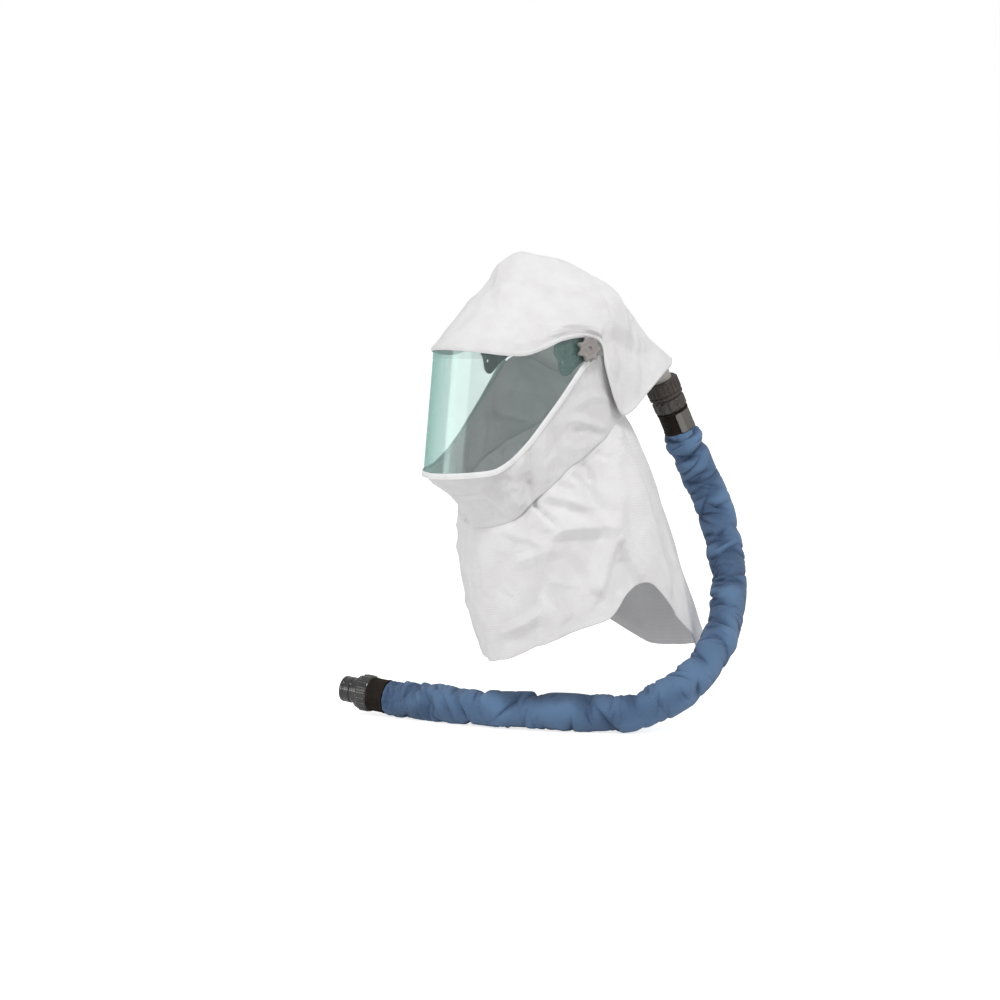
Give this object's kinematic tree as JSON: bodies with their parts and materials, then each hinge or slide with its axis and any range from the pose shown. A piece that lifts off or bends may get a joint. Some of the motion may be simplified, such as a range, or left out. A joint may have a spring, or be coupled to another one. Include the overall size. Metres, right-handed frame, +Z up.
{
  "type": "respirator hood",
  "caption": "Loose-fitting respirator hood: cloth crown, collar and shoulder bib round a clear visor, with side knobs, a rear air inlet and a sleeved hose that ends in a loose coupling.",
  "frame": {"origin": "middle of the headband, level with its lower part, where the wearer's head carries the hood", "axes": "+Z up, the wearer faces -Y, +X is the wearer's left"},
  "size_m": [0.4039, 0.5382, 0.6708],
  "materials": {
    "white_cloth": "matt nonwoven cloth with a fine rib and paper-like creases",
    "white_binding": "smooth white tape",
    "clear_visor": "clear sheet with a faint green tint",
    "knob_plastic": "moulded warm grey",
    "bracket_plastic": "moulded grey",
    "headband_plastic": "moulded dark grey",
    "duct_plastic": "moulded light grey",
    "nut_plastic": "moulded, knurled, almost black",
    "ring_plastic": "moulded with grip lugs, almost black",
    "cuff_rubber": "smooth black rubber",
    "tab_cloth": "grey tape",
    "blue_cloth": "wrinkled blue woven sleeve",
    "end_nut_plastic": "moulded, ribbed, black",
    "plug_plastic": "moulded, black"
  },
  "bodies": {
    "hood": {"crown": "white_cloth", "collar": "white_cloth", "bib": "white_cloth", "visor": "clear_visor", "visor_binding": "white_binding", "bracket_left": "bracket_plastic", "bracket_right": "bracket_plastic", "headband": "headband_plastic", "air_duct": "duct_plastic", "coupling_nut": "nut_plastic", "coupling_ring": "ring_plastic", "hose_cuff_top": "cuff_rubber", "cuff_tab": "tab_cloth", "hose_sleeve": "blue_cloth", "hose_cuff_bottom": "cuff_rubber", "end_plug": "plug_plastic"},
    "knob_left": {"knob_left": "knob_plastic"},
    "knob_right": {"knob_right": "knob_plastic"},
    "end_nut": {"end_nut": "end_nut_plastic"}
  },
  "joints": [
    {"name": "knob_left_turn", "type": "hinge", "parent": "hood", "child": "knob_left", "pos_m": [0.10316, -0.00985, -0.028], "axis": [0.9847, -0.1736, 0.0174], "range_deg": [0, 360]},
    {"name": "knob_right_turn", "type": "hinge", "parent": "hood", "child": "knob_right", "pos_m": [-0.10316, -0.00985, -0.028], "axis": [-0.9847, -0.1736, 0.0174], "range_deg": [0, 360]},
    {"name": "end_nut_turn", "type": "hinge", "parent": "hood", "child": "end_nut", "pos_m": [-0.168, -0.168, -0.535], "axis": [-0.8441, -0.5275, 0.0958], "continuous": true}
  ]
}
